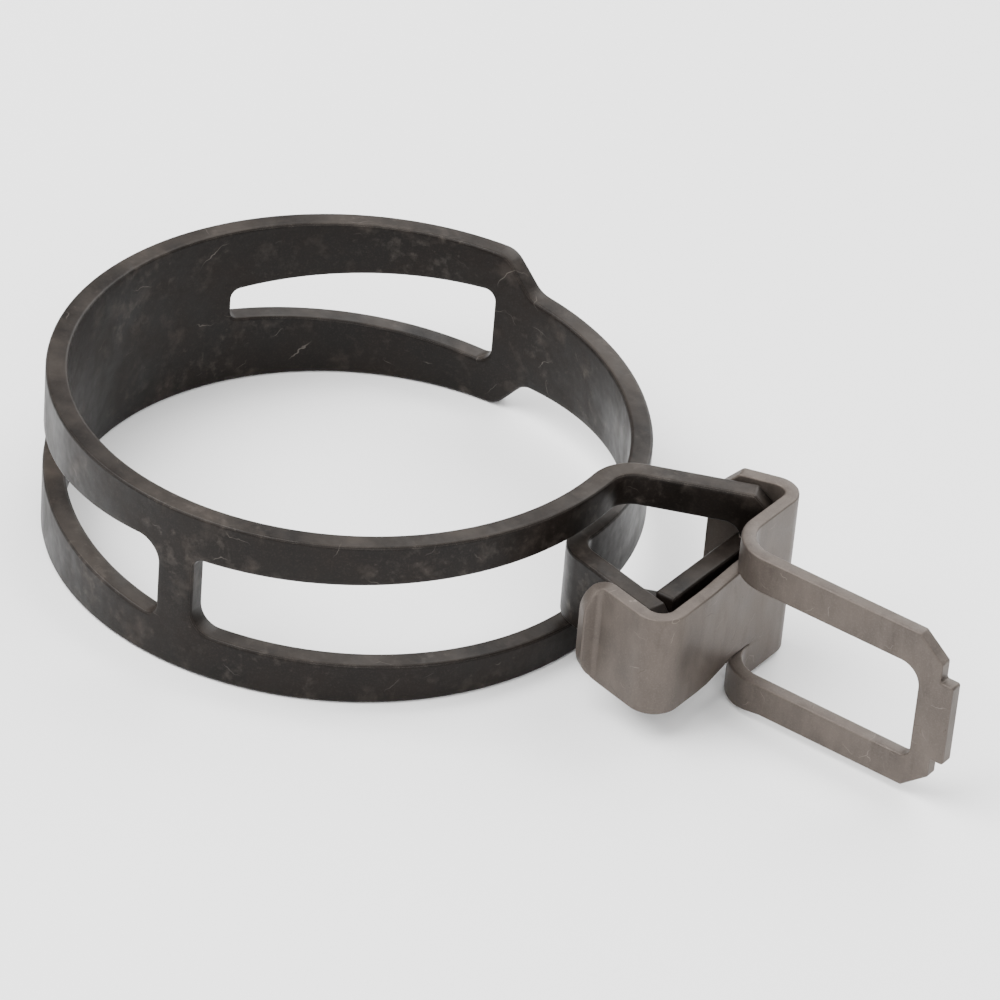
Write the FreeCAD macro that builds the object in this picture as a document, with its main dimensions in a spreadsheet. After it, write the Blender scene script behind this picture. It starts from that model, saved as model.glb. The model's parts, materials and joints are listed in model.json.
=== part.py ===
import FreeCAD, Part
import Sketcher
import math
import os

# A pre-opened spring band clamp. A slotted spring-steel band is held open by a
# bent sheet-steel retaining clip hooked over its two ears.
# Origin: centre of the bore at mid height. +Z is the bore axis, +X the pull direction.
# The band is divided at the middle of each window, where the strip bends most.

driving = [
    ("bore_radius", 23.1, "inside of the band while it is held open"),
    ("band_thickness", 1.85, "spring steel strip"),
    ("band_width", 15.0, "height of the strip along the bore axis"),
    ("flexure_back", 124.7, "azimuth of the middle of the back window, degrees"),
    ("flexure_left", 241.35, "azimuth of the middle of the left window, degrees"),
    ("ear_one_bend", 2.1, "inside radius where the window arm turns out"),
    ("ear_one_azimuth", 4.5, "azimuth where the window arm turns out, degrees"),
    ("ear_one_heading", 23.9, "direction of ear one, degrees"),
    ("ear_one_length", 10.55, "flat length of ear one"),
    ("ear_one_corner", 1.3, "corner cut at the tip of ear one"),
    ("ear_two_bend", 1.6, "inside radius where the tongue turns out"),
    ("ear_two_azimuth", -0.8, "azimuth where the tongue turns out, degrees"),
    ("ear_two_heading", -13.3, "direction of ear two, degrees"),
    ("ear_two_length", 10.27, "flat length of ear two"),
    ("ear_two_corner", 1.7, "corner cut at the tip of ear two"),
    ("tongue_root_half", 4.35, "half width of the tongue at the shoulder"),
    ("tongue_tip_half", 3.3, "half width of the tongue at ear two"),
    ("tongue_even", 45.0, "azimuth past which the tongue keeps its width, degrees"),
    ("shoulder_round", 1.6, "radius of both curves of each shoulder"),
    ("shoulder_slope", 62.0, "steepest slope of a shoulder, degrees"),
    ("shoulder_middle", -1.15, "middle of the shoulders, along X"),
    ("window_wide_half", 3.65, "half height of each window at its wide end"),
    ("window_narrow_high", 1.6, "top of each window at its narrow end"),
    ("back_window_narrow_low", 1.2, "bottom of the back window at its narrow end"),
    ("left_window_narrow_low", 1.6, "bottom of the left window at its narrow end"),
    ("back_window_wide", 95.8, "azimuth of the back window's wide end, degrees"),
    ("back_window_narrow", 153.4, "azimuth of the back window's narrow end, degrees"),
    ("left_window_wide", 270.7, "azimuth of the left window's wide end, degrees"),
    ("left_window_narrow", 212.0, "azimuth of the left window's narrow end, degrees"),
    ("window_corner", 1.2, "corners of the windows and of the slot's closed end"),
    ("slot_start", -81.6, "azimuth of the closed end of the slot, degrees"),
    ("slot_start_half", 3.45, "half height of the slot at its closed end"),
    ("slot_ear_half", 4.5, "half height of the slot at ear one"),
    ("slot_ear_length", 8.4, "slot measured along ear one from the bend"),
    ("slot_ear_corner", 1.3, "corners of the slot's end in ear one"),
    ("stop_half", 3.3, "half width of the stop tab"),
    ("stop_inner", 33.05, "ring side of the stop tab, along X"),
    ("stop_end", -3.2, "free end of the stop tab, along Y"),
    ("stop_bend", 0.5, "inside radius where the stop tab leaves ear one"),
    ("clip_thickness", 1.2, "retaining clip sheet"),
    ("clip_width", 14.9, "retaining clip strip"),
    ("clip_lift", 0.3, "the clip sits this much above the middle"),
    ("plate_inner", 36.3, "face of the clip plate towards the ears, along X"),
    ("leg_heading", 17.0, "direction of the back leg, degrees"),
    ("leg_length", 5.35, "flat length of the back leg"),
    ("leg_corner", 2.3, "corner cut at the end of the back leg"),
    ("leg_bend", 1.0, "inside radius of the back bend"),
    ("leg_bend_middle", 9.12, "centre of the back bend, along Y"),
    ("arm_bend", 2.8, "inside radius where the loop arms turn out"),
    ("arm_bend_middle", 4.6, "centre of the loop bend, along Y"),
    ("loop_low", 7.1, "lower edge of the loop, below the middle of the clip"),
    ("loop_opening_half", 4.3, "half height of the loop opening"),
    ("loop_opening_end", 55.4, "far end of the loop opening, along X"),
    ("loop_opening_corner", 1.3, "corners of the loop opening"),
    ("loop_bar", 57.3, "outer edge of the end bar, along X"),
    ("loop_corner_run", 2.3, "corner cut of the end bar, along X"),
    ("loop_corner_drop", 1.9, "corner cut of the end bar, along Z"),
    ("loop_tab_high", 3.9, "top of the tab on the end bar"),
    ("loop_tab_low", 3.5, "bottom of the tab on the end bar"),
    ("loop_tab_end", 58.5, "outer edge of the tab, along X"),
    ("hook_half", 4.53, "half width of the lanced tongue and its hook"),
    ("hook_drop", 0.65, "the hook droops this much below the middle of the clip"),
    ("hook_bend", 1.2, "inside radius of the hook"),
    ("hook_bend_middle", -5.4, "centre of the hook bend, along Y"),
    ("hook_leg", 4.0, "flat length of the hook leg"),
    ("hook_flare_bend", 0.5, "inside radius of the flared end"),
    ("hook_flare_turn", 70.0, "turn of the flared end, degrees"),
    ("hook_flare_length", 0.9, "straight part of the flared end"),
    ("hook_corner", 2.3, "corner rounding at the end of the hook"),
]

doc = FreeCAD.newDocument("spring_band_clamp")
sheet = doc.addObject("Spreadsheet::Sheet", "Dimensions")
for row, (alias, value, note) in enumerate(driving, start=1):
    sheet.set("A%d" % row, alias)
    sheet.set("B%d" % row, str(value))
    sheet.set("C%d" % row, note)
    sheet.setAlias("B%d" % row, alias)
doc.recompute()


def size(alias):
    return float(sheet.get(alias))


def cell(alias):
    return "Dimensions." + alias


thickness = size("band_thickness")
boreRadius = size("bore_radius")
outerRadius = boreRadius + thickness
middleRadius = boreRadius + thickness / 2
bandHalf = size("band_width") / 2
clear = 3.0  # cutters reach this far past the metal
up = FreeCAD.Vector(0, 0, 1)


def polar(radius, azimuth):
    angle = math.radians(azimuth)
    return FreeCAD.Vector(radius * math.cos(angle), radius * math.sin(angle), 0)


# Sketches

def newBody(label):
    body = doc.addObject("PartDesign::Body", label)
    body.Label = label
    return body


def originPlane(body, role):
    for feature in body.Origin.OriginFeatures:
        if feature.Role == role:
            return feature
    raise RuntimeError("no origin plane " + role)


def newSketch(body, name, role="XY_Plane", turn=0.0):
    # turn swings an upright plane about the bore axis
    sketch = body.newObject("Sketcher::SketchObject", name)
    sketch.AttachmentSupport = [(originPlane(body, role), "")]
    sketch.MapMode = "FlatFace"
    spin = FreeCAD.Rotation(FreeCAD.Vector(0, 1, 0), turn)
    sketch.AttachmentOffset = FreeCAD.Placement(FreeCAD.Vector(0, 0, 0), spin)
    return sketch


def addLine(sketch, here, there):
    start = FreeCAD.Vector(here[0], here[1], 0)
    end = FreeCAD.Vector(there[0], there[1], 0)
    sketch.addGeometry(Part.LineSegment(start, end), False)


def addPolygon(sketch, corners):
    for here, there in zip(corners, corners[1:] + corners[:1]):
        addLine(sketch, here, there)


def addArc(sketch, centre, radius, first, last, formula):
    # angles in degrees, counter-clockwise; the radius is a constraint driven by the sheet
    circle = Part.Circle(FreeCAD.Vector(centre[0], centre[1], 0), up, radius)
    arc = Part.ArcOfCircle(circle, math.radians(first), math.radians(last))
    index = sketch.addGeometry(arc, False)
    number = sketch.addConstraint(Sketcher.Constraint("Radius", index, radius))
    sketch.setExpression("Constraints[%d]" % number, formula)


def addStrip(sketch, start, heading, gauge, moves):
    # both faces of a bent strip seen edge on, drawn from its middle line
    # gauge names the strip's thickness; a move is ("run", length) or
    # ("bend", the name of its inside radius, turn), where a turn above 0 is to the left
    sheetThick = size(gauge)
    half = sheetThick / 2
    here = FreeCAD.Vector(start)
    ends = [(here, polar(1, heading + 90))]
    for kind, amount, *more in moves:
        left = polar(1, heading + 90)
        if kind == "run":
            there = here + polar(amount, heading)
            for side in (half, -half):
                addLine(sketch, here + left * side, there + left * side)
        else:
            turn = more[0]
            inside = size(amount)
            way = 1 if turn > 0 else -1
            centre = here + left * (way * (inside + half))
            begin = heading - 90 * way
            finish = begin + turn
            low, high = min(begin, finish), max(begin, finish)
            addArc(sketch, centre, inside, low, high, cell(amount))
            addArc(sketch, centre, inside + sheetThick, low, high, cell(amount) + " + " + cell(gauge))
            there = centre + polar(inside + half, finish)
            heading = heading + turn
        here = there
    ends.append((here, polar(1, heading + 90)))
    for point, across in ends:
        addLine(sketch, point + across * half, point - across * half)
    return here


# Features

def prism(body, kind, name, sketch, formula):
    # a pad or pocket, equally to both sides of its sketch
    before = body.Shape.Volume if body.Tip else 0
    feature = body.newObject("PartDesign::" + kind, name)
    feature.Profile = sketch
    feature.SideType = "Symmetric"
    feature.setExpression("Length", formula)
    doc.recompute()
    change = body.Shape.Volume - before
    if change * (1 if kind == "Pad" else -1) < 0.01:
        raise RuntimeError(name + " changes nothing")


def dress(body, kind, name, test, alias, wanted):
    # a fillet or chamfer on the edges that pass the test
    base = body.Tip
    found = ["Edge%d" % (n + 1) for n, edge in enumerate(base.Shape.Edges) if test(edge)]
    if len(found) != wanted:
        raise RuntimeError("%s finds %d edges, not %d" % (name, len(found), wanted))
    feature = body.newObject("PartDesign::" + kind, name)
    feature.Base = (base, found)
    feature.setExpression("Size" if kind == "Chamfer" else "Radius", cell(alias))
    doc.recompute()


def isCorner(edge, place, half):
    # a short edge through the sheet, half above or below a place
    middle = edge.CenterOfMass
    level = abs(abs(middle.z - place.z) - half) < 0.01
    return level and (middle - FreeCAD.Vector(place.x, place.y, middle.z)).Length < 0.1


def isWallCorner(edge, azimuth):
    # a short edge through the band's wall, at an azimuth
    middle = edge.CenterOfMass
    gap = math.degrees(math.atan2(middle.y, middle.x)) - azimuth
    gap = (gap + 180) % 360 - 180
    through = abs(edge.Length - thickness) < 0.1
    onWall = abs(math.hypot(middle.x, middle.y) - middleRadius) < 0.1
    return through and onWall and abs(gap) < 0.2


def taperedCut(body, name, first, firstHeights, last, lastHeights):
    # a gap through the wall between two azimuths; heights are (bottom, top)
    before = body.Shape.Volume
    near = boreRadius - clear
    far = outerRadius / math.cos(math.radians((last - first) / 2)) + clear
    sections = []
    for side, azimuth, (low, high) in (("First", first, firstHeights), ("Last", last, lastHeights)):
        section = newSketch(body, name + side, "XZ_Plane", azimuth)
        addPolygon(section, [(near, low), (far, low), (far, high), (near, high)])
        sections.append(section)
    loft = body.newObject("PartDesign::SubtractiveLoft", name)
    loft.Profile = sections[0]
    loft.Sections = sections[1:]
    loft.Ruled = True
    doc.recompute()
    if body.Shape.Volume > before - 0.01:
        raise RuntimeError(name + " removes nothing")


def halfWindow(body, name, end, split):
    # the part of a window between one of its ends and the flexure in its middle;
    # the cut runs a little past the flexure with the same taper
    beyond = 0.05
    wide = size("window_wide_half")
    heights = {"wide": (-wide, wide),
               "narrow": (-size(name + "_window_narrow_low"), size("window_narrow_high"))}
    here = size(name + "_window_" + end)
    there = size(name + "_window_" + ("narrow" if end == "wide" else "wide"))
    past = split + (split - here) * beyond
    share = (past - here) / (there - here)
    near, far = heights[end], heights["narrow" if end == "wide" else "wide"]
    pastHeights = [a + (b - a) * share for a, b in zip(near, far)]
    label = name.title() + "Window" + end.title()
    taperedCut(body, label, here, near, past, pastHeights)
    dress(body, "Fillet", label + "Corners", lambda edge: isWallCorner(edge, here),
          "window_corner", 2)


# The band

def buildBack():
    # the closed back of the band between the two flexures
    body = newBody("band_back")
    first = size("flexure_back")
    last = size("flexure_left")
    plan = newSketch(body, "BackPlan")
    addStrip(plan, polar(middleRadius, first), first + 90, "band_thickness",
             [("bend", "bore_radius", last - first)])
    prism(body, "Pad", "BackStrip", plan, cell("band_width"))
    halfWindow(body, "back", "narrow", first)
    halfWindow(body, "left", "narrow", last)
    return body


def buildWindowArm():
    # the slotted arm of the band, with ear one and the stop tab
    body = newBody("band_window_arm")
    split = size("flexure_left") - 360
    azimuth = size("ear_one_azimuth")
    heading = size("ear_one_heading")
    plan = newSketch(body, "WindowArmPlan")
    tip = addStrip(plan, polar(middleRadius, split), split + 90, "band_thickness", [
        ("bend", "bore_radius", azimuth - split),
        ("bend", "ear_one_bend", heading - azimuth - 90),
        ("run", size("ear_one_length")),
    ])
    prism(body, "Pad", "WindowArmStrip", plan, cell("band_width"))
    dress(body, "Chamfer", "EarOneCorners", lambda edge: isCorner(edge, tip, bandHalf),
          "ear_one_corner", 2)
    halfWindow(body, "left", "wide", size("flexure_left"))

    # the long slot that the tongue passes through
    slotStart = size("slot_start")
    startHalf = size("slot_start_half")
    earHalf = size("slot_ear_half")
    slotMeet = azimuth - 4  # past here the slot has its full height
    taperedCut(body, "Slot", slotStart, (-startHalf, startHalf), slotMeet, (-earHalf, earHalf))
    dress(body, "Fillet", "SlotCorners", lambda edge: isWallCorner(edge, slotStart),
          "window_corner", 2)

    # the slot runs on round the bend and along ear one
    along = polar(1, heading)
    across = polar(1, heading + 90)
    bend = size("ear_one_bend")
    bendCentre = polar(outerRadius + bend, azimuth)
    slotEnd = bendCentre + along * size("slot_ear_length")
    outside = 0.6  # the cutter starts this far outside the metal
    behindEar = 25.0  # and ends this many degrees past the ear
    inFront = across * (bend - outside)
    behind = across * (bend + thickness + clear)
    overlap = slotMeet - 0.05  # a hair into the slot already cut, so that no skin is left
    earSlot = newSketch(body, "EarSlotPlan")
    addPolygon(earSlot, [polar(boreRadius - clear, overlap), polar(outerRadius + outside, overlap),
                         bendCentre + inFront, slotEnd + inFront, slotEnd + behind,
                         polar(boreRadius - clear, azimuth + behindEar)])
    prism(body, "Pocket", "EarSlot", earSlot, "2 * " + cell("slot_ear_half"))
    slotCorner = slotEnd + across * (bend + thickness / 2)
    dress(body, "Fillet", "EarSlotCorners", lambda edge: isCorner(edge, slotCorner, earHalf),
          "slot_ear_corner", 2)

    # the stop tab folds from the tip of the ear towards ear two
    stopBend = size("stop_bend")
    foldX = size("stop_inner") + thickness + stopBend
    earLine = bendCentre + across * (bend - stopBend)
    foldY = earLine.y + (foldX - earLine.x) * math.tan(math.radians(heading))
    foldEnd = FreeCAD.Vector(foldX, foldY, 0).dot(along)
    stop = newSketch(body, "StopPlan")
    stopStart = FreeCAD.Vector(size("stop_inner") + thickness / 2, size("stop_end"), 0)
    addStrip(stop, stopStart, 90, "band_thickness", [
        ("run", foldY - stopStart.y),
        ("bend", "stop_bend", heading - 90),
        ("run", tip.dot(along) - foldEnd),
    ])
    prism(body, "Pad", "StopTab", stop, "2 * " + cell("stop_half"))
    return body


def buildTongueArm():
    # the arm that narrows at its shoulders to the tongue, with ear two
    body = newBody("band_tongue_arm")
    split = size("flexure_back")
    azimuth = size("ear_two_azimuth")
    plan = newSketch(body, "TongueArmPlan")
    tip = addStrip(plan, polar(middleRadius, split), split - 90, "band_thickness", [
        ("bend", "bore_radius", azimuth - split),
        ("bend", "ear_two_bend", size("ear_two_heading") - azimuth + 90),
        ("run", size("ear_two_length")),
    ])
    prism(body, "Pad", "TongueArmStrip", plan, cell("band_width"))

    # above and below the tongue the strip is cut away, down S-shaped shoulders
    radius = size("shoulder_round")
    slope = math.radians(size("shoulder_slope"))
    root = size("tongue_root_half")
    tipHalf = size("tongue_tip_half")
    curveDrop = radius * (1 - math.cos(slope))
    curveRun = radius * math.sin(slope)
    flankRun = (bandHalf - root - 2 * curveDrop) / math.tan(slope)
    flankStart = size("shoulder_middle") - flankRun / 2
    flankEnd = flankStart + flankRun
    taperEnd = middleRadius * math.cos(math.radians(size("tongue_even")))
    past = tip.x + clear
    for side, name in ((1, "Upper"), (-1, "Lower")):
        sketch = newSketch(body, name + "ShoulderSide", "XZ_Plane")
        lean = size("shoulder_slope")
        spans = ((90 - lean, 90), (270 - lean, 270)) if side > 0 else ((270, 270 + lean), (90, 90 + lean))
        high = (flankStart - curveRun, side * (bandHalf - radius))
        low = (flankEnd + curveRun, side * (root + radius))
        for centre, (first, last) in zip((high, low), spans):
            addArc(sketch, centre, radius, first, last, cell("shoulder_round"))
        addLine(sketch, (flankStart, side * (bandHalf - curveDrop)), (flankEnd, side * (root + curveDrop)))
        outline = [(low[0], side * root), (taperEnd, side * tipHalf), (past, side * tipHalf),
                   (past, side * (bandHalf + clear)), (high[0], side * (bandHalf + clear)),
                   (high[0], side * bandHalf)]
        for here, there in zip(outline, outline[1:]):
            addLine(sketch, here, there)
        prism(body, "Pocket", name + "Shoulder", sketch, "4 * " + cell("bore_radius"))

    dress(body, "Chamfer", "EarTwoCorners", lambda edge: isCorner(edge, tip, tipHalf),
          "ear_two_corner", 2)
    halfWindow(body, "back", "wide", split)
    return body


# The retaining clip

def buildClip():
    # one strip: back leg, bend round ear one, plate, and the loop pulled out to +X;
    # the tongue lanced from the loop runs on as the hook round ear two
    body = newBody("retaining_clip")
    sheetThick = size("clip_thickness")
    clipHalf = size("clip_width") / 2
    plateInner = size("plate_inner")
    armMiddle = size("arm_bend_middle")
    legBend = size("leg_bend")
    legHeading = size("leg_heading")
    legTop = FreeCAD.Vector(plateInner - legBend, size("leg_bend_middle"), 0)
    legTop += polar(legBend + sheetThick / 2, legHeading + 90)
    legStart = legTop - polar(size("leg_length"), legHeading)
    armStart = plateInner + sheetThick + size("arm_bend")
    plan = newSketch(body, "ClipPlan")
    addStrip(plan, legStart, legHeading, "clip_thickness", [
        ("run", size("leg_length")),
        ("bend", "leg_bend", -90 - legHeading),
        ("run", size("leg_bend_middle") - armMiddle),
        ("bend", "arm_bend", 90),
        ("run", size("loop_tab_end") - armStart),
    ])
    prism(body, "Pad", "ClipStrip", plan, cell("clip_width"))
    dress(body, "Chamfer", "LegCorners", lambda edge: isCorner(edge, legStart, clipHalf),
          "leg_corner", 2)

    # the lower arm of the loop is a little narrower than the plate
    loopLow = size("loop_low")
    bar = size("loop_bar")
    past = size("loop_tab_end") + clear
    lower = newSketch(body, "LowerArmSide", "XZ_Plane")
    addPolygon(lower, [(armStart - sheetThick, -clipHalf), (armStart + sheetThick, -loopLow),
                       (past, -loopLow), (past, -clipHalf - clear),
                       (armStart - sheetThick, -clipHalf - clear)])
    prism(body, "Pocket", "LowerArmEdge", lower, "4 * " + cell("bore_radius"))

    # the end bar has cut corners, and a tab between them
    cornerStart = bar - size("loop_corner_run")
    for side, name, edgeZ, tabZ in ((1, "Upper", clipHalf, size("loop_tab_high")),
                                    (-1, "Lower", loopLow, size("loop_tab_low"))):
        corner = newSketch(body, name + "CornerSide", "XZ_Plane")
        outline = [(cornerStart, edgeZ), (bar, edgeZ - size("loop_corner_drop")), (bar, tabZ),
                   (past, tabZ), (past, clipHalf + clear), (cornerStart, clipHalf + clear)]
        addPolygon(corner, [(x, side * z) for x, z in outline])
        prism(body, "Pocket", name + "Corner", corner, "4 * " + cell("bore_radius"))

    # the loop opening, left where the tongue is lanced out
    openingHalf = size("loop_opening_half")
    openingEnd = size("loop_opening_end")
    armFace = armMiddle - size("arm_bend") - sheetThick
    opening = newSketch(body, "LoopOpeningPlan")
    addPolygon(opening, [(plateInner - clear, armMiddle), (openingEnd, armMiddle),
                         (openingEnd, armFace - clear), (plateInner - clear, armFace - clear)])
    prism(body, "Pocket", "LoopOpening", opening, "2 * " + cell("loop_opening_half"))
    openingCorner = FreeCAD.Vector(openingEnd, armFace + sheetThick / 2, 0)
    dress(body, "Fillet", "LoopOpeningCorners",
          lambda edge: isCorner(edge, openingCorner, openingHalf), "loop_opening_corner", 2)

    # the lanced tongue and its hook
    root = armMiddle + sheetThick / 3  # the tongue starts inside the plate
    hook = newSketch(body, "HookPlan")
    drop = FreeCAD.Vector(0, 0, -size("hook_drop"))
    hook.AttachmentOffset = FreeCAD.Placement(drop, FreeCAD.Rotation())
    hookTip = addStrip(hook, FreeCAD.Vector(plateInner + sheetThick / 2, root, 0), -90,
                       "clip_thickness", [
        ("run", root - size("hook_bend_middle")),
        ("bend", "hook_bend", -90 + size("ear_two_heading")),
        ("run", size("hook_leg")),
        ("bend", "hook_flare_bend", size("hook_flare_turn")),
        ("run", size("hook_flare_length")),
    ])
    prism(body, "Pad", "Hook", hook, "2 * " + cell("hook_half"))
    dress(body, "Fillet", "HookCorners",
          lambda edge: isCorner(edge, hookTip + drop, size("hook_half")), "hook_corner", 2)
    body.Placement = FreeCAD.Placement(FreeCAD.Vector(0, 0, size("clip_lift")), FreeCAD.Rotation())
    return body


bodies = [buildBack(), buildWindowArm(), buildTongueArm(), buildClip()]
doc.recompute()

for item in doc.Objects:
    if "Invalid" in item.State or "Error" in item.State:
        raise RuntimeError(item.Name + " did not recompute")
for body in bodies:
    if body.Shape.isNull() or not body.Shape.isValid() or len(body.Shape.Solids) != 1:
        raise RuntimeError(body.Label + " is not one valid solid")

os.makedirs("parts", exist_ok=True)
for body in bodies:
    body.Shape.exportStep("parts/" + body.Label + ".step")
    print("%-16s %7.1f cubic mm" % (body.Label, body.Shape.Volume))
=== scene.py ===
import json
import math
import bpy
from mathutils import Matrix, Vector

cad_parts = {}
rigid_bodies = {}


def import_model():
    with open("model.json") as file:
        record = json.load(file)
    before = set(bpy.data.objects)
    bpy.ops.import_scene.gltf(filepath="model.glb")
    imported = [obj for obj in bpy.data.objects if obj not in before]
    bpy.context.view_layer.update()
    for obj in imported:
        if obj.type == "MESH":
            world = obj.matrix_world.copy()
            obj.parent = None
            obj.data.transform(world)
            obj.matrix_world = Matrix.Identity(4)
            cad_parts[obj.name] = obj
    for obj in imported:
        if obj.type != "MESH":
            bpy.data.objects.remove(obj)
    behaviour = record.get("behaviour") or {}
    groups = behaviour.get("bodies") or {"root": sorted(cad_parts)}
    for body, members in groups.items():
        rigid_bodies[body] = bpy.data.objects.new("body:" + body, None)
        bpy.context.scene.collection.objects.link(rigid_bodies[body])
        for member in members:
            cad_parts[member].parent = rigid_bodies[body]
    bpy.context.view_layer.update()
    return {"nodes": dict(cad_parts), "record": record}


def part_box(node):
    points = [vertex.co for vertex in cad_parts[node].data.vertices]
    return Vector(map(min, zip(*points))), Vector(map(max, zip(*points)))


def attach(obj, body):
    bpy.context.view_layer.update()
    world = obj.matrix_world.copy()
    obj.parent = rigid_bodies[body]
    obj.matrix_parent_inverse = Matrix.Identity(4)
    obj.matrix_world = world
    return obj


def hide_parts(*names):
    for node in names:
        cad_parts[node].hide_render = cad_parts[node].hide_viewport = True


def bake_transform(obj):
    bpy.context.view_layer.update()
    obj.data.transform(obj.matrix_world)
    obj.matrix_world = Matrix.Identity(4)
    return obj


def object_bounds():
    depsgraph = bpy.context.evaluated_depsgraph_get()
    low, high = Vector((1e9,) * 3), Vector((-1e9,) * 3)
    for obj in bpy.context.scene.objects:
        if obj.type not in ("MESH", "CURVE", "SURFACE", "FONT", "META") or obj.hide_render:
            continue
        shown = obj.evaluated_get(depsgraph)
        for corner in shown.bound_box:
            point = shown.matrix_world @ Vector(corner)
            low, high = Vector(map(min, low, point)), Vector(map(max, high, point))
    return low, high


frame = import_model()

# A pre-opened spring band clamp: a black phosphated spring-steel band, punched flat and
# rolled, held open by a bent sheet-steel clip. Every piece is punched as a flat blank,
# then bent along its middle line, as the real ones are.

mm = 0.001
record = frame["record"]
scene = bpy.context.scene
mounts = {mount["name"]: mount for mount in record["mounts"]}
boreRadius = mounts["hose_bore"]["dims"]["r_mm"]  # mm, while the clamp is held open
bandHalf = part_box("band_back")[1].z / mm  # half the band's width, mm


def deselectAll():
    if bpy.context.mode != "OBJECT":
        bpy.ops.object.mode_set(mode="OBJECT")
    for item in bpy.data.objects:
        item.select_set(False)


def makeActive(item):
    deselectAll()
    item.select_set(True)
    bpy.context.view_layer.objects.active = item


def applyModifier(item, kind, **settings):
    makeActive(item)
    modifier = item.modifiers.new(kind.title(), kind)
    for key, value in settings.items():
        setattr(modifier, key, value)
    bpy.ops.object.modifier_apply(modifier=modifier.name)


def polar(radius, azimuth):
    angle = math.radians(azimuth)
    return Vector((radius * math.cos(angle), radius * math.sin(angle)))


# Outlines and paths are in mm.
def roundedOutline(corners):
    # corners are (x, y, radius); a corner with a radius becomes an arc
    points = []
    count = len(corners)
    for i, (x, y, radius) in enumerate(corners):
        here = Vector((x, y))
        if radius <= 0:
            points.append(here)
            continue
        before = (Vector(corners[i - 1][:2]) - here).normalized()
        after = (Vector(corners[(i + 1) % count][:2]) - here).normalized()
        halfAngle = before.angle(after) / 2
        reach = radius / math.tan(halfAngle)
        centre = here + (before + after).normalized() * (radius / math.sin(halfAngle))
        first = here + before * reach - centre
        turn = first.angle_signed(here + after * reach - centre)
        steps = max(2, round(abs(math.degrees(turn)) / 9))
        for step in range(steps + 1):
            points.append(centre + Matrix.Rotation(-turn * step / steps, 2) @ first)
    return points


def mirrored(corners):
    # the same corners below the middle line, in the order that closes the outline
    return [(x, -z, radius) for x, z, radius in reversed(corners)]


def bentPath(start, heading, radiusShift, moves, step):
    # points along the middle line of a bent strip, from its runs and its bends
    points = [Vector(start)]
    for move in moves:
        if move[0] == "run":
            points.append(points[-1] + polar(move[1], heading))
            continue
        inside, turn = move[1:]
        radius = inside + radiusShift
        way = 1 if turn > 0 else -1
        centre = points[-1] + polar(radius, heading + 90 * way)
        count = max(6, math.ceil(radius * math.radians(abs(turn)) / step))
        begin = heading - 90 * way
        points += [centre + polar(radius, begin + turn * (n + 1) / count) for n in range(count)]
        heading += turn
    return points


def pathLength(moves, radiusShift):
    total = 0
    for move in moves:
        if move[0] == "run":
            total += move[1]
        else:
            total += (move[1] + radiusShift) * math.radians(abs(move[2]))
    return total


def punchBlank(name, outlines, thickness, edgeRound):
    # a flat blank with its windows; X is its length, Z its width, Y its thickness
    curve = bpy.data.curves.new(name, "CURVE")
    curve.dimensions = "2D"
    curve.fill_mode = "BOTH"
    curve.bevel_depth = edgeRound * mm
    curve.bevel_resolution = 2
    curve.offset = -edgeRound * mm
    curve.extrude = (thickness / 2 - edgeRound) * mm
    for outline in outlines:
        spline = curve.splines.new("POLY")
        spline.points.add(len(outline) - 1)
        spline.use_cyclic_u = True
        for point, place in zip(spline.points, outline):
            point.co = (place[0] * mm, place[1] * mm, 0, 1)
    blank = bpy.data.objects.new(name, curve)
    scene.collection.objects.link(blank)
    makeActive(blank)
    bpy.ops.object.convert(target="MESH")
    blank = bpy.context.view_layer.objects.active
    blank.name = name
    blank.data.transform(Matrix.Rotation(math.radians(90), 4, "X"))
    bpy.ops.object.mode_set(mode="EDIT")
    bpy.ops.mesh.select_all(action="SELECT")
    bpy.ops.mesh.remove_doubles(threshold=0.002 * mm)
    bpy.ops.mesh.normals_make_consistent(inside=False)
    bpy.ops.object.mode_set(mode="OBJECT")
    return blank


def scoreBlank(blank, places):
    # cuts across the blank, so that it can bend there
    makeActive(blank)
    bpy.ops.object.mode_set(mode="EDIT")
    for place in places:
        bpy.ops.mesh.select_all(action="SELECT")
        bpy.ops.mesh.bisect(plane_co=(place * mm, 0, 0), plane_no=(1, 0, 0))
    bpy.ops.object.mode_set(mode="OBJECT")


def trimBlank(blank):
    # cuts the blank square at its start and closes the end
    makeActive(blank)
    bpy.ops.object.mode_set(mode="EDIT")
    bpy.ops.mesh.select_all(action="SELECT")
    bpy.ops.mesh.bisect(plane_co=(0, 0, 0), plane_no=(1, 0, 0), clear_inner=True, use_fill=True)
    bpy.ops.object.mode_set(mode="OBJECT")


def scorePlaces(moves, radiusShift, step, bendStep):
    # score lines: wide apart on runs, bendStep degrees apart round bends
    places, here = [], 0
    for move in moves:
        if move[0] == "run":
            length = move[1]
            count = max(1, round(length / step))
        else:
            length = (move[1] + radiusShift) * math.radians(abs(move[2]))
            count = max(2, round(abs(move[2]) / bendStep))
        places += [here + length * n / count for n in range(1, count + 1)]
        here += length
    return places[:-1]


def bendBlank(blank, points, group=""):
    # bends the blank along its middle line
    curve = bpy.data.curves.new(blank.name + "Line", "CURVE")
    curve.dimensions = "3D"
    curve.twist_mode = "Z_UP"
    spline = curve.splines.new("POLY")
    spline.points.add(len(points) - 1)
    for point, place in zip(spline.points, points):
        point.co = (place.x * mm, place.y * mm, 0, 1)
    line = bpy.data.objects.new(blank.name + "Line", curve)
    scene.collection.objects.link(line)
    applyModifier(blank, "CURVE", object=line, deform_axis="POS_X", vertex_group=group)
    bpy.data.objects.remove(line)


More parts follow.
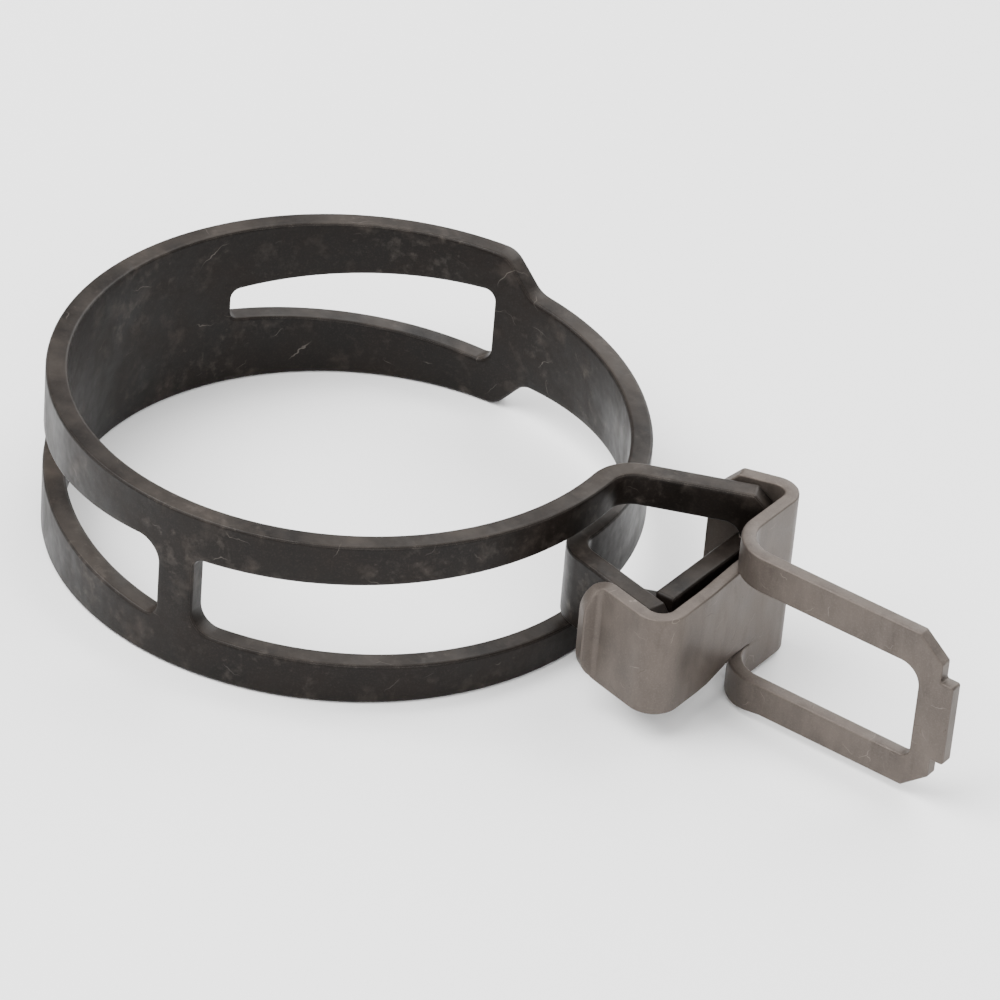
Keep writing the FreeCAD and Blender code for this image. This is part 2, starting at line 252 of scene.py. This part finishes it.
def finishPiece(piece):
    makeActive(piece)
    bpy.ops.object.mode_set(mode="EDIT")
    bpy.ops.mesh.select_all(action="SELECT")
    bpy.ops.mesh.normals_make_consistent(inside=False)
    bpy.ops.object.mode_set(mode="OBJECT")
    bpy.ops.object.shade_smooth_by_angle(angle=math.radians(32))
    applyModifier(piece, "WEIGHTED_NORMAL", keep_sharp=True, weight=60)


band = {
    "thickness": 1.85,
    "edgeRound": 0.28,
    "seam": 180.0,           # azimuth where the two halves of the band meet, in the solid back
    "nearSeam": [0.1, 0.4],  # score lines that keep the roll smooth right up to the seam
    "lead": -3.0,            # each blank starts this far before the seam and is trimmed there
    "scoreStep": 1.6,        # score lines along the runs, mm
    "scoreBend": 2.0,        # and round the bends, degrees
    "lineStep": 0.1,         # points along the bending line, mm
    "earOneBend": 2.1,
    "earOneAzimuth": 4.5,
    "earOneHeading": 23.9,
    "earOneLength": 10.55,
    "earOneCorner": 1.3,
    "earTwoBend": 1.6,
    "earTwoAzimuth": -0.8,
    "earTwoHeading": -13.3,
    "earTwoLength": 10.27,
    "earTwoCorner": 1.7,
    "shoulder": (95.9, 84.9),    # azimuths where the shoulder leaves the edge and meets the tongue
    "shoulderRound": 2.0,
    "shoulderSteeper": 0.9,  # the corners of the shoulder lie this far inside its ends
    "tongueRoot": 4.35,
    "tongueTip": 3.3,
    "tongueEven": 45.0,      # azimuth past which the tongue keeps its width
    "windowWide": 3.65,
    "windowNarrow": 1.6,
    "backWindow": (153.4, 95.8),
    "backWindowLow": 1.2,
    "leftWindow": (212.0, 270.7),
    "slot": 278.4,
    "slotStart": 3.45,
    "slotEar": 4.5,
    "slotEarLength": 8.4,
    "stopHalf": 3.3,
    "stopInner": 33.05,
    "stopEnd": -3.2,
    "stopBend": 0.5,
    "stopThickness": 1.79,   # a hair thinner than the ear it grows out of
}
middleRadius = boreRadius + band["thickness"] / 2
halfBand = band["thickness"] / 2


def lengthAt(azimuth):
    # distance along the strip from the seam
    return middleRadius * math.radians(abs(azimuth - band["seam"]))


def rollHalf(name, outlines, moves, way):
    # one half of the band, rolled away from the seam; way is 1 towards ear one
    blank = punchBlank(name, [roundedOutline(corners) for corners in outlines],
                       band["thickness"], band["edgeRound"])
    trimBlank(blank)
    scoreBlank(blank, band["nearSeam"] + scorePlaces(
        moves, halfBand, band["scoreStep"], band["scoreBend"]))
    start = polar(middleRadius, band["seam"])
    points = bentPath(start, band["seam"] + 90 * way, halfBand, moves, band["lineStep"])
    bendBlank(blank, points)
    return blank


def buildTongueHalf():
    moves = [
        ("bend", boreRadius, band["earTwoAzimuth"] - band["seam"]),
        ("bend", band["earTwoBend"], band["earTwoHeading"] - band["earTwoAzimuth"] + 90),
        ("run", band["earTwoLength"]),
    ]
    end = pathLength(moves, halfBand)
    high, low = (lengthAt(azimuth) for azimuth in band["shoulder"])
    soft, corner, tip = band["shoulderRound"], band["earTwoCorner"], band["tongueTip"]
    steeper = band["shoulderSteeper"]
    upper = [
        (band["lead"], bandHalf, 0), (high + steeper, bandHalf, soft),
        (low - steeper, band["tongueRoot"], soft),
        (lengthAt(band["tongueEven"]), tip + 0.1, 0), (end - corner, tip, 0.3), (end, tip - corner, 0.3),
    ]
    narrow, wide = (lengthAt(azimuth) for azimuth in band["backWindow"])
    window = [
        (narrow, -band["backWindowLow"], 0.8), (wide, -band["windowWide"], 1.3),
        (wide, band["windowWide"], 1.0), (narrow, band["windowNarrow"], 0.9),
    ]
    half = rollHalf("band_tongue_half", [upper + mirrored(upper), window], moves, -1)
    finishPiece(half)
    return half


def buildWindowHalf():
    azimuth = band["earOneAzimuth"]
    heading = band["earOneHeading"]
    moves = [
        ("bend", boreRadius, azimuth + 360 - band["seam"]),
        ("bend", band["earOneBend"], heading - azimuth - 90),
        ("run", band["earOneLength"]),
    ]
    end = pathLength(moves, halfBand)
    corner, wideHalf, startHalf = band["earOneCorner"], band["windowWide"], band["slotStart"]
    earHalf, narrowHalf = band["slotEar"], band["windowNarrow"]
    upper = [
        (band["lead"], bandHalf, 0), (end - corner, bandHalf, 0.3), (end, bandHalf - corner, 0.3),
    ]
    narrow, wide = (lengthAt(place) for place in band["leftWindow"])
    window = [
        (narrow, -narrowHalf, 0.9), (wide, -wideHalf, 1.1), (wide, wideHalf, 1.9),
        (narrow, narrowHalf, 0.9),
    ]
    slotStart = lengthAt(band["slot"])
    bendStart = pathLength(moves[:1], halfBand)
    slotEnd = pathLength(moves[:2], halfBand) + band["slotEarLength"]
    slot = [
        (slotStart, -startHalf, 1.9), (bendStart, -earHalf, 0), (slotEnd, -earHalf, 1.5),
        (slotEnd, earHalf, 1.5), (bendStart, earHalf, 0), (slotStart, startHalf, 0.9),
    ]
    half = rollHalf("band_window_half", [upper + mirrored(upper), window, slot], moves, 1)

    # the stop tab folds out of the end of the slot in ear one, towards ear two
    bend, tabHalf = band["stopBend"], band["stopHalf"]
    tabThick = band["stopThickness"]
    middleX = band["stopInner"] + tabThick / 2
    foldX = middleX + bend + tabThick / 2
    across = polar(1, heading + 90)
    front = polar(middleRadius + halfBand + band["earOneBend"], azimuth) + across * band["earOneBend"]
    buried = 0.02  # the fold lies this deep in the front of the ear, mm
    centre = front + across * (buried - bend)
    foldY = centre.y + (foldX - centre.x) * math.tan(math.radians(heading))
    tabMoves = [
        ("run", foldY - band["stopEnd"]), ("bend", bend, heading - 90), ("run", 0.3),
    ]
    length = pathLength(tabMoves, tabThick / 2)
    outline = [(0, -tabHalf, 0.3), (length, -tabHalf, 0), (length, tabHalf, 0), (0, tabHalf, 0.3)]
    tab = punchBlank("stop_tab", [roundedOutline(outline)], tabThick, band["edgeRound"])
    scoreBlank(tab, scorePlaces(tabMoves, tabThick / 2, 3, 9))
    bendBlank(tab, bentPath((middleX, band["stopEnd"]), 90, tabThick / 2, tabMoves, 0.1))
    applyModifier(half, "BOOLEAN", operation="UNION", solver="EXACT", object=tab)
    bpy.data.objects.remove(tab)
    finishPiece(half)
    return half


print("band: punching and rolling")
tongueHalf = buildTongueHalf()
windowHalf = buildWindowHalf()


clip = {
    "thickness": 1.2,
    "edgeRound": 0.16,
    "half": 7.45,
    "loopLow": 7.1,
    "lift": 0.3,
    "legHeading": 17.0,
    "legLength": 5.35,
    "legCorner": 2.3,
    "legBend": 1.0,
    "legBendY": 9.12,
    "plateX": 36.3,
    "armBend": 2.8,
    "armBendY": 4.6,
    "openingHalf": 4.3,
    "openingEnd": 55.4,
    "barEnd": 57.3,
    "tabEnd": 58.5,
    "tabHigh": 3.9,
    "tabLow": 3.5,
    "barRun": 2.3,
    "barDrop": 1.9,
    "hookHalf": 4.2,
    "hookSpread": 0.08,      # the lanced tongue spreads by this share once it is free
    "hookDrop": 0.65,        # and droops
    "freeFrom": 2.0,         # it leaves the plate gently, from this far past the lanced end
    "freeOver": 4.0,         # and over this length
    "slitRound": 0.98,       # roundness of the slit's ends, as a share of half the slit
    "hookBend": 1.2,
    "hookBendY": -5.4,
    "hookLeg": 4.0,
    "flareBend": 0.5,
    "flareTurn": 70.0,
    "flareLength": 0.9,
    "hookCorner": 2.3,
}


def buildClip():
    thick = clip["thickness"]
    halfClip = thick / 2
    heading = clip["legHeading"]
    start = Vector((clip["plateX"] - clip["legBend"], clip["legBendY"]))
    start += polar(clip["legBend"] + halfClip, heading + 90) - polar(clip["legLength"], heading)
    armStart = clip["plateX"] + thick + clip["armBend"]
    shared = [
        ("run", clip["legLength"]),
        ("bend", clip["legBend"], -90 - heading),
        ("run", clip["legBendY"] - clip["armBendY"]),
    ]
    loopMoves = shared + [("bend", clip["armBend"], 90), ("run", clip["tabEnd"] - armStart)]
    hookMoves = shared + [
        ("run", clip["armBendY"] - clip["hookBendY"]),
        ("bend", clip["hookBend"], -90 + band["earTwoHeading"]),
        ("run", clip["hookLeg"]),
        ("bend", clip["flareBend"], clip["flareTurn"]),
        ("run", clip["flareLength"]),
    ]
    split = pathLength(shared, halfClip)
    loopStart = pathLength(loopMoves[:-1], halfClip)
    loopEnd = pathLength(loopMoves, halfClip)
    hookEnd = pathLength(hookMoves, halfClip)
    barEnd = loopEnd - (clip["tabEnd"] - clip["barEnd"])
    openingEnd = loopEnd - (clip["tabEnd"] - clip["openingEnd"])
    half, low, legCorner = clip["half"], clip["loopLow"], clip["legCorner"]
    corner = barEnd - clip["barRun"]
    upper = [
        (0, half - legCorner, 0.5), (legCorner, half, 0.5), (corner, half, 0.3),
        (barEnd, half - clip["barDrop"], 0.3), (barEnd, clip["tabHigh"], 0.2),
        (loopEnd, clip["tabHigh"], 0.25),
    ]
    lower = [
        (0, half - legCorner, 0.5), (legCorner, half, 0.5), (loopStart - thick, half, 0),
        (loopStart + thick, low, 0), (corner, low, 0.3), (barEnd, low - clip["barDrop"], 0.3),
        (barEnd, clip["tabLow"], 0.2), (loopEnd, clip["tabLow"], 0.25),
    ]
    opening, hook, hookCorner = clip["openingHalf"], clip["hookHalf"], clip["hookCorner"]
    slit = (opening - hook) / 2 * clip["slitRound"]
    inside = [
        (openingEnd, -opening, 0.9), (openingEnd, opening, 1.8), (split, opening, slit),
        (split, hook, slit), (hookEnd, hook, hookCorner), (hookEnd, -hook, hookCorner),
        (split, -hook, slit), (split, -opening, slit),
    ]
    outlines = [roundedOutline(upper + mirrored(lower)), roundedOutline(inside)]
    sheet = punchBlank("clip_sheet", outlines, thick, clip["edgeRound"])
    places = scorePlaces(loopMoves, halfClip, 1.5, 6) + scorePlaces(hookMoves, halfClip, 1.5, 6)
    scoreBlank(sheet, sorted(set(round(place, 3) for place in places)))
    tongue = sheet.vertex_groups.new(name="tongue")
    rest = sheet.vertex_groups.new(name="rest")
    for vertex in sheet.data.vertices:
        # the tongue is what lies within reach of the middles of the hook's round corners
        x, z = vertex.co.x / mm, abs(vertex.co.z) / mm
        away = math.hypot(max(x - hookEnd + hookCorner, 0), max(z - hook + hookCorner, 0))
        lanced = x > split + 0.01 and away < hookCorner + (opening - hook) / 2
        (tongue if lanced else rest).add([vertex.index], 1.0, "REPLACE")
        if lanced:
            free = min(max((x - split - clip["freeFrom"]) / clip["freeOver"], 0), 1)
            vertex.co.z += (vertex.co.z * clip["hookSpread"] - clip["hookDrop"] * mm) * free
    bendBlank(sheet, bentPath(start, heading, halfClip, hookMoves, 0.1), "tongue")
    bendBlank(sheet, bentPath(start, heading, halfClip, loopMoves, 0.1), "rest")
    sheet.data.transform(Matrix.Translation((0, 0, clip["lift"] * mm)))
    finishPiece(sheet)
    return sheet


print("clip: punching and bending")
clipSheet = buildClip()


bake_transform(tongueHalf)
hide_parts("band_tongue_arm")
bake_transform(windowHalf)
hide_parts("band_window_arm", "band_back")
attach(clipSheet, "clip")
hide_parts("retaining_clip")


def colour(hexText):
    # an sRGB hex colour as linear red, green, blue and alpha
    channels = [int(hexText[i:i + 2], 16) / 255 for i in (1, 3, 5)]
    return [c / 12.92 if c <= 0.04045 else ((c + 0.055) / 1.055) ** 2.4 for c in channels] + [1]


def addNode(tree, kind, settings, links, output=0):
    # settings name a node's own values or its inputs; links give each input an output;
    # what comes back is the node's output
    node = tree.nodes.new(kind)
    for key, value in settings.items():
        if isinstance(key, str) and hasattr(node, key):
            setattr(node, key, value)
        else:
            node.inputs[key].default_value = value
    for key, source in links.items():
        tree.links.new(source, node.inputs[key])
    return node.outputs[output]


def newMaterial(name):
    material = bpy.data.materials.new(name)
    material.use_nodes = True
    return material, material.node_tree, material.node_tree.nodes["Principled BSDF"]


def layColours(tree, base, layers):
    # lays colours over a base, each through its own mask; masks run from 0 to 1
    laid = base
    for mask, hexText in layers:
        settings = {"data_type": "RGBA", 7: colour(hexText)}
        links = {0: mask}
        if laid is base:
            settings[6] = base
        else:
            links[6] = laid
        laid = addNode(tree, "ShaderNodeMix", settings, links, 2)
    return laid


def patches(tree, point, width, low, high, strength, detail=3.0):
    # a mask of irregular patches; width is the size of one in mm, low and high its edges
    cloud = addNode(tree, "ShaderNodeTexNoise", {"Scale": 1 / width, "Detail": detail, "Roughness": 0.6},
                    {"Vector": point})
    return addNode(tree, "ShaderNodeMapRange",
                   {"From Min": low, "From Max": high, "To Max": strength}, {"Value": cloud})


def edgeWearAndHighlightMask(tree, radius, start, full):
    # a mask of the rounded edges, laid as wear and as a painted highlight: how far the bevelled normal
    # leans from the face's own
    rounded = addNode(tree, "ShaderNodeBevel", {"samples": 8, "Radius": radius * mm}, {})
    face = addNode(tree, "ShaderNodeNewGeometry", {}, {}, "True Normal")
    lean = addNode(tree, "ShaderNodeVectorMath", {"operation": "DOT_PRODUCT"},
                   {0: rounded, 1: face}, "Value")
    return addNode(tree, "ShaderNodeMapRange",
                   {"From Min": 1 - start, "From Max": 1 - full}, {"Value": lean})


def scratches(tree, point, spacing, length, width, share, strength):
    # thin, slightly curved marks in random directions: one in each cell of the spacing, of
    # which a share is kept; all sizes in mm
    sway = addNode(tree, "ShaderNodeTexNoise", {"Scale": 0.35, "Detail": 3.0}, {"Vector": point}, "Color")
    point = addNode(tree, "ShaderNodeVectorMath", {"operation": "MULTIPLY_ADD", 1: (2.5, 2.5, 2.5)},
                    {0: sway, 2: point})
    settings = {"Scale": 1 / spacing, "Randomness": 1.0}
    links = {"Vector": point}
    away = addNode(tree, "ShaderNodeTexVoronoi", settings, links, "Distance")
    random = addNode(tree, "ShaderNodeTexVoronoi", settings, links, "Color")
    middle = addNode(tree, "ShaderNodeTexVoronoi", settings, links, "Position")
    offset = addNode(tree, "ShaderNodeVectorMath", {"operation": "SUBTRACT"}, {0: point, 1: middle})
    turned = addNode(tree, "ShaderNodeVectorMath", {"operation": "SUBTRACT", 1: (0.5, 0.5, 0.5)},
                     {0: random})
    turned = addNode(tree, "ShaderNodeVectorMath", {"operation": "NORMALIZE"}, {0: turned})
    side = addNode(tree, "ShaderNodeVectorMath", {"operation": "DOT_PRODUCT"},
                   {0: offset, 1: turned}, "Value")
    side = addNode(tree, "ShaderNodeMath", {"operation": "ABSOLUTE"}, {0: side})
    line = addNode(tree, "ShaderNodeMapRange", {"From Min": width, "From Max": width * 0.3},
                   {"Value": side})
    reach = length / 2 / spacing
    near = addNode(tree, "ShaderNodeMapRange",
                   {"From Min": reach, "From Max": reach * 0.4, "To Max": strength}, {"Value": away})
    kept = addNode(tree, "ShaderNodeSeparateColor", {}, {"Color": random}, "Blue")
    kept = addNode(tree, "ShaderNodeMath", {"operation": "LESS_THAN", 1: share}, {0: kept})
    mark = addNode(tree, "ShaderNodeMath", {"operation": "MULTIPLY"}, {0: line, 1: near})
    return addNode(tree, "ShaderNodeMath", {"operation": "MULTIPLY"}, {0: mark, 1: kept})


def blackPhosphate():
    # spring steel, hardened, phosphated and oiled: a dense brown-black crystal coat, greyer
    # on the punched faces, partly their own tone and partly painted top light, and lighter along the
    # corners, partly rubbed through to metal and partly a painted highlight
    material, tree, shader = newMaterial("blackPhosphatedSpringSteel")
    place = addNode(tree, "ShaderNodeTexCoord", {}, {}, "Object")
    point = addNode(tree, "ShaderNodeMapping", {"Scale": (1 / mm, 1 / mm, 1 / mm)}, {"Vector": place})
    cloudy = patches(tree, point, 5.0, 0.35, 0.68, 1.0, 4)
    grain = patches(tree, point, 0.16, 0.50, 0.80, 0.25, 2)
    speckle = patches(tree, point, 0.55, 0.64, 0.80, 0.25, 4)
    rubbed = patches(tree, point, 3.2, 0.56, 0.74, 0.45, 6)
    where = patches(tree, point, 8.0, 0.48, 0.60, 1.0, 2)
    scuffed = patches(tree, point, 1.1, 0.52, 0.78, 0.26, 5)
    scuffed = addNode(tree, "ShaderNodeMath", {"operation": "MULTIPLY"}, {0: scuffed, 1: where})
    fine = scratches(tree, point, 2.6, 1.8, 0.03, 0.35, 0.18)
    deep = scratches(tree, point, 6.0, 3.0, 0.05, 0.30, 0.24)
    normal = addNode(tree, "ShaderNodeNewGeometry", {}, {}, "True Normal")
    upward = addNode(tree, "ShaderNodeSeparateXYZ", {}, {"Vector": normal}, "Z")
    upward = addNode(tree, "ShaderNodeMath", {"operation": "ABSOLUTE"}, {0: upward})
    # painted top light: faces that point up or down, the punched faces, turn lighter; partly their own
    # sheared grey, partly painted light from above
    punchedAndPaintedTopLight = addNode(tree, "ShaderNodeMapRange", {"From Min": 0.6, "From Max": 0.95}, {"Value": upward})
    uneven = patches(tree, point, 7.0, 0.35, 0.62, 1.0, 5)
    punchedAndPaintedTopLight = addNode(tree, "ShaderNodeMath", {"operation": "MULTIPLY"}, {0: punchedAndPaintedTopLight, 1: uneven})
    # the rounded edges turn light and metallic: partly rubbed through to metal, partly a painted
    # highlight
    edgeWearAndHighlight = edgeWearAndHighlightMask(tree, 0.30, 0.03, 0.22)
    broken = patches(tree, point, 1.1, 0.30, 0.60, 1.0, 6)
    edgeWearAndHighlight = addNode(tree, "ShaderNodeMath", {"operation": "MULTIPLY"}, {0: edgeWearAndHighlight, 1: broken})
    # the seam between the halves is not an edge of the real strip
    apart = addNode(tree, "ShaderNodeSeparateXYZ", {}, {"Vector": point}, "Y")
    apart = addNode(tree, "ShaderNodeMath", {"operation": "ABSOLUTE"}, {0: apart})
    apart = addNode(tree, "ShaderNodeMapRange", {"From Min": 0.4, "From Max": 0.7}, {"Value": apart})
    ahead = addNode(tree, "ShaderNodeSeparateXYZ", {}, {"Vector": point}, "X")
    ahead = addNode(tree, "ShaderNodeMath", {"operation": "GREATER_THAN", 1: -20.0}, {0: ahead})
    apart = addNode(tree, "ShaderNodeMath", {"operation": "MAXIMUM"}, {0: apart, 1: ahead})
    edgeWearAndHighlight = addNode(tree, "ShaderNodeMath", {"operation": "MULTIPLY"}, {0: edgeWearAndHighlight, 1: apart})
    edgeWearAndHighlight = addNode(tree, "ShaderNodeMath", {"operation": "MULTIPLY", 1: 0.9}, {0: edgeWearAndHighlight})
    # 2f2a26 on the punched faces is partly painted top light; #a8a098 on the edges is partly a painted
    # highlight
    coat = layColours(tree, colour("#0d0a08"), [
        (cloudy, "#16110e"), (punchedAndPaintedTopLight, "#2f2a26"), (grain, "#362f2a"), (speckle, "#4c443e"),
        (rubbed, "#3e3732"), (scuffed, "#5e5751"), (fine, "#8a827b"), (deep, "#8a827b"),
        (edgeWearAndHighlight, "#a8a098"),
    ])
    tree.links.new(coat, shader.inputs["Base Color"])
    shader.inputs["Specular IOR Level"].default_value = 0.13
    rough = addNode(tree, "ShaderNodeMapRange", {"To Min": 0.36, "To Max": 0.54}, {"Value": cloudy})
    tree.links.new(rough, shader.inputs["Roughness"])
    tree.links.new(edgeWearAndHighlight, shader.inputs["Metallic"])
    relief = addNode(tree, "ShaderNodeBump", {"Strength": 0.35, "Distance": 0.02 * mm}, {"Height": grain})
    dents = patches(tree, point, 3.0, 0.2, 0.8, 1.0, 2)
    relief = addNode(tree, "ShaderNodeBump", {"Strength": 0.5, "Distance": 0.12 * mm},
                     {"Height": dents, "Normal": relief})
    tree.links.new(relief, shader.inputs["Normal"])
    return material


def coldRolledSheet():
    # cold-rolled sheet steel left bare under a film of oil: dull warm grey, with soft streaks
    # across the strip from the bending tools and a few dark handling marks
    material, tree, shader = newMaterial("coldRolledSheetSteel")
    place = addNode(tree, "ShaderNodeTexCoord", {}, {}, "Object")
    point = addNode(tree, "ShaderNodeMapping", {"Scale": (1 / mm, 1 / mm, 1 / mm)}, {"Vector": place})
    upright = addNode(tree, "ShaderNodeMapping", {"Scale": (1 / mm, 1 / mm, 0.3 / mm)},
                      {"Vector": place})
    cloudy = patches(tree, point, 4.0, 0.35, 0.68, 1.0, 4)
    streak = patches(tree, upright, 1.3, 0.40, 0.75, 0.35, 5)
    stain = patches(tree, upright, 2.2, 0.55, 0.72, 0.55, 6)
    fleck = patches(tree, point, 0.5, 0.66, 0.74, 0.45, 5)
    grain = patches(tree, point, 0.14, 0.48, 0.80, 0.30, 2)
    marks = scratches(tree, point, 3.4, 2.6, 0.05, 0.35, 0.50)
    fine = scratches(tree, point, 1.6, 1.8, 0.03, 0.30, 0.35)
    # the rounded edges turn lighter: partly worn, partly a painted highlight
    edgeWearAndHighlight = edgeWearAndHighlightMask(tree, 0.2, 0.03, 0.25)
    broken = patches(tree, point, 1.3, 0.34, 0.64, 0.6, 5)
    edgeWearAndHighlight = addNode(tree, "ShaderNodeMath", {"operation": "MULTIPLY"}, {0: edgeWearAndHighlight, 1: broken})
    tone = layColours(tree, colour("#453e39"), [
        (cloudy, "#544c46"), (streak, "#635b54"), (stain, "#352e2a"), (grain, "#6a6159"),
        (fleck, "#26211e"), (marks, "#2a2420"), (fine, "#857c74"), (edgeWearAndHighlight, "#8c837b"),
    ])
    tree.links.new(tone, shader.inputs["Base Color"])
    shader.inputs["Metallic"].default_value = 0.6
    rough = addNode(tree, "ShaderNodeMapRange", {"To Min": 0.46, "To Max": 0.60}, {"Value": cloudy})
    tree.links.new(rough, shader.inputs["Roughness"])
    relief = addNode(tree, "ShaderNodeBump", {"Strength": 0.3, "Distance": 0.015 * mm}, {"Height": grain})
    relief = addNode(tree, "ShaderNodeBump", {"Strength": 0.3, "Distance": 0.04 * mm},
                     {"Height": cloudy, "Normal": relief})
    tree.links.new(relief, shader.inputs["Normal"])
    return material


print("finishes")
springSteel = blackPhosphate()
clipSteel = coldRolledSheet()
for piece, finish in ((tongueHalf, springSteel), (windowHalf, springSteel), (clipSheet, clipSteel)):
    piece.data.materials.clear()
    piece.data.materials.append(finish)
for name, node in frame["nodes"].items():
    node.data.materials.clear()
    node.data.materials.append(clipSteel if name == "retaining_clip" else springSteel)


def buildStage():
    bpy.ops.mesh.primitive_plane_add(size=3, location=(0, 0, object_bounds()[0][2] - 0.00005))
    floor = bpy.context.view_layer.objects.active
    floor.name = "floor"
    bpy.ops.object.transform_apply(location=True, rotation=True, scale=True)
    # white paper floor
    material, tree, shader = newMaterial("whitePaper")
    shader.inputs["Base Color"].default_value = colour("#fafafa")
    shader.inputs["Roughness"].default_value = 0.9
    floor.data.materials.append(material)


def addLight(name, place, size, power):
    # a square soft box aimed at the clamp
    light = bpy.data.lights.new(name, "AREA")
    light.size = size
    light.energy = power
    lamp = bpy.data.objects.new(name, light)
    scene.collection.objects.link(lamp)
    lamp.location = place
    lamp.rotation_euler = (-Vector(place)).to_track_quat("-Z", "Y").to_euler()


def buildCamera():
    # three-quarter view from above, over the ears
    camera = bpy.data.objects.new("camera", bpy.data.cameras.new("camera"))
    scene.collection.objects.link(camera)
    camera.data.lens = 202.24
    camera.data.sensor_width = 36
    camera.data.clip_start = 0.01
    forward = Vector((-0.4621, 0.6867, -0.5612)).normalized()
    right = Vector((0.7994, 0.5965, 0.0716))
    right = (right - forward * right.dot(forward)).normalized()
    up = right.cross(forward)
    turn = Matrix((right, up, -forward)).transposed().to_4x4()
    camera.matrix_world = Matrix.Translation((0.2249, -0.3112, 0.2565)) @ turn
    scene.camera = camera


print("stage, light and camera")
buildStage()
buildCamera()
addLight("key", (-0.25, -0.25, 0.6), 0.6, 11)
addLight("fill", (0.5, -0.4, 0.4), 0.6, 4)
addLight("back", (0.0, 0.6, 0.45), 0.7, 8)
world = bpy.data.worlds.new("softRoom")
world.use_nodes = True
room = world.node_tree.nodes["Background"]
room.inputs["Color"].default_value = (1, 1, 1, 1)
room.inputs["Strength"].default_value = 0.65
scene.world = world
